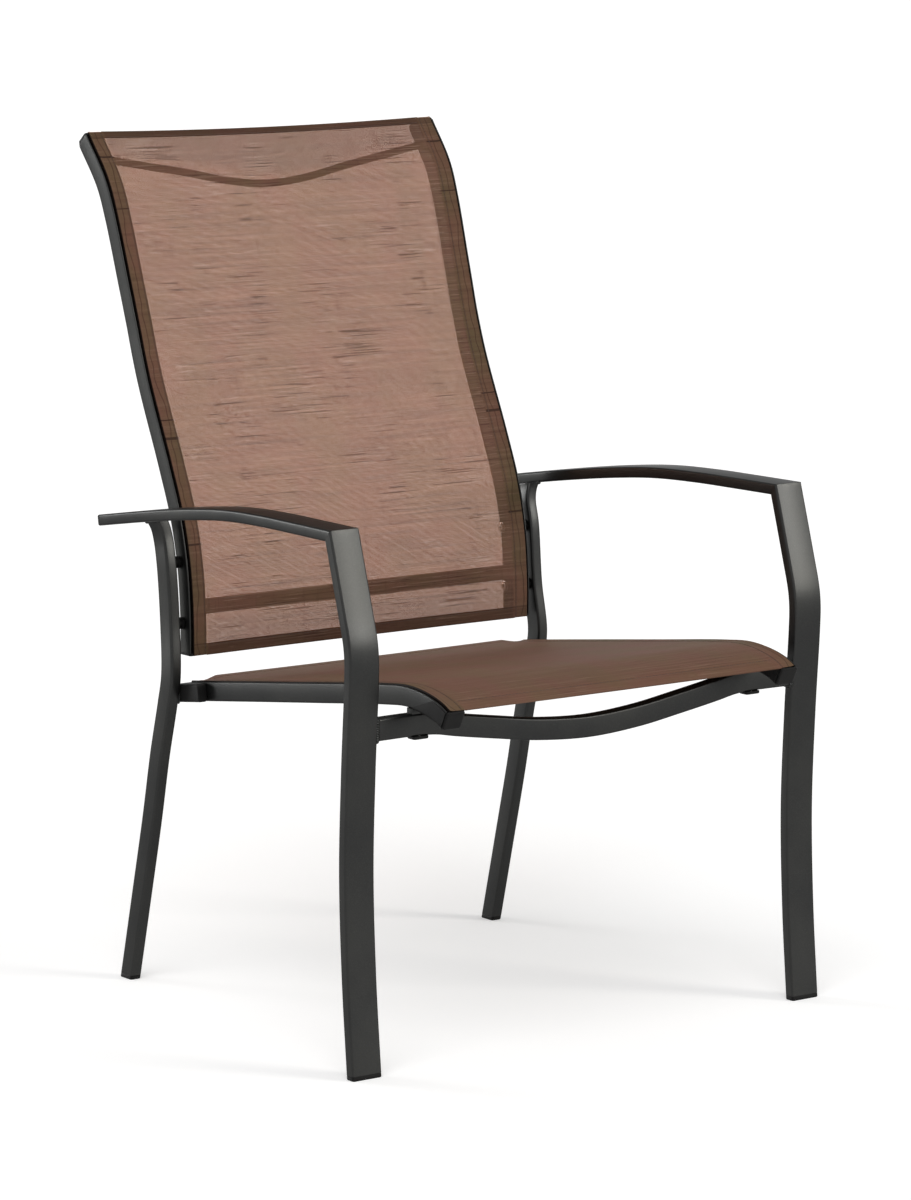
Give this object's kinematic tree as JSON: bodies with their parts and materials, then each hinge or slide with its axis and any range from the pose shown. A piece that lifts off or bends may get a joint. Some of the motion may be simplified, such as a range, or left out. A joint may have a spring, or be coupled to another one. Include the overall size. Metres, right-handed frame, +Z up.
{
  "type": "sling patio chair",
  "caption": "Stationary high-back outdoor armchair with a bowed flat-tube metal frame and stretched mesh slings for the seat and the back.",
  "frame": {"origin": "on the floor, below the middle of the bounding box", "axes": "+Z up, -Y towards the front of the seat, +X to the sitter's left side, which is the right side in a front view"},
  "size_m": [0.6602, 0.7316, 0.9904],
  "materials": {
    "frame_metal": "satin powder coat, dark bronze grey",
    "sling_mesh": "open weave of coated yarn, tan brown",
    "dark_plastic": "moulded, satin",
    "bolt_steel": "zinc plated"
  },
  "bodies": {
    "root": {"front_leg_left": "frame_metal", "front_leg_right": "frame_metal", "armrest_left": "frame_metal", "armrest_right": "frame_metal", "rear_leg_left": "frame_metal", "rear_leg_right": "frame_metal", "back_rail_left": "frame_metal", "back_rail_right": "frame_metal", "seat_rail_left": "frame_metal", "seat_rail_right": "frame_metal", "seat_saddle_left": "frame_metal", "seat_saddle_right": "frame_metal", "seat_bracket_left": "dark_plastic", "seat_bracket_right": "dark_plastic", "front_cross_bar": "frame_metal", "rear_cross_bar": "frame_metal", "upper_back_bar": "frame_metal", "lower_back_bar": "frame_metal", "back_sling": "sling_mesh", "seat_sling": "sling_mesh", "back_spline_left": "dark_plastic", "back_spline_right": "dark_plastic", "seat_spline_left": "dark_plastic", "seat_spline_right": "dark_plastic", "foot_glide_front_left": "dark_plastic", "foot_glide_front_right": "dark_plastic", "foot_glide_rear_left": "dark_plastic", "foot_glide_rear_right": "dark_plastic", "armrest_plug_left": "dark_plastic", "armrest_plug_right": "dark_plastic", "back_rail_plug_bottom_left": "dark_plastic", "back_rail_plug_bottom_right": "dark_plastic", "back_rail_plug_top_left": "dark_plastic", "back_rail_plug_top_right": "dark_plastic", "seat_rail_plug_front_left": "dark_plastic", "seat_rail_plug_front_right": "dark_plastic", "seat_rail_plug_rear_left": "dark_plastic", "seat_rail_plug_rear_right": "dark_plastic", "back_spacer_lower_left": "dark_plastic", "back_spacer_lower_right": "dark_plastic", "back_spacer_upper_left": "dark_plastic", "back_spacer_upper_right": "dark_plastic", "back_bolt_lower_left": "bolt_steel", "back_bolt_lower_right": "bolt_steel", "back_bolt_upper_left": "bolt_steel", "back_bolt_upper_right": "bolt_steel", "seat_bolt_rear_left": "bolt_steel", "seat_bolt_rear_right": "bolt_steel", "seat_bolt_front_left": "bolt_steel", "seat_bolt_front_right": "bolt_steel"}
  },
  "joints": []
}
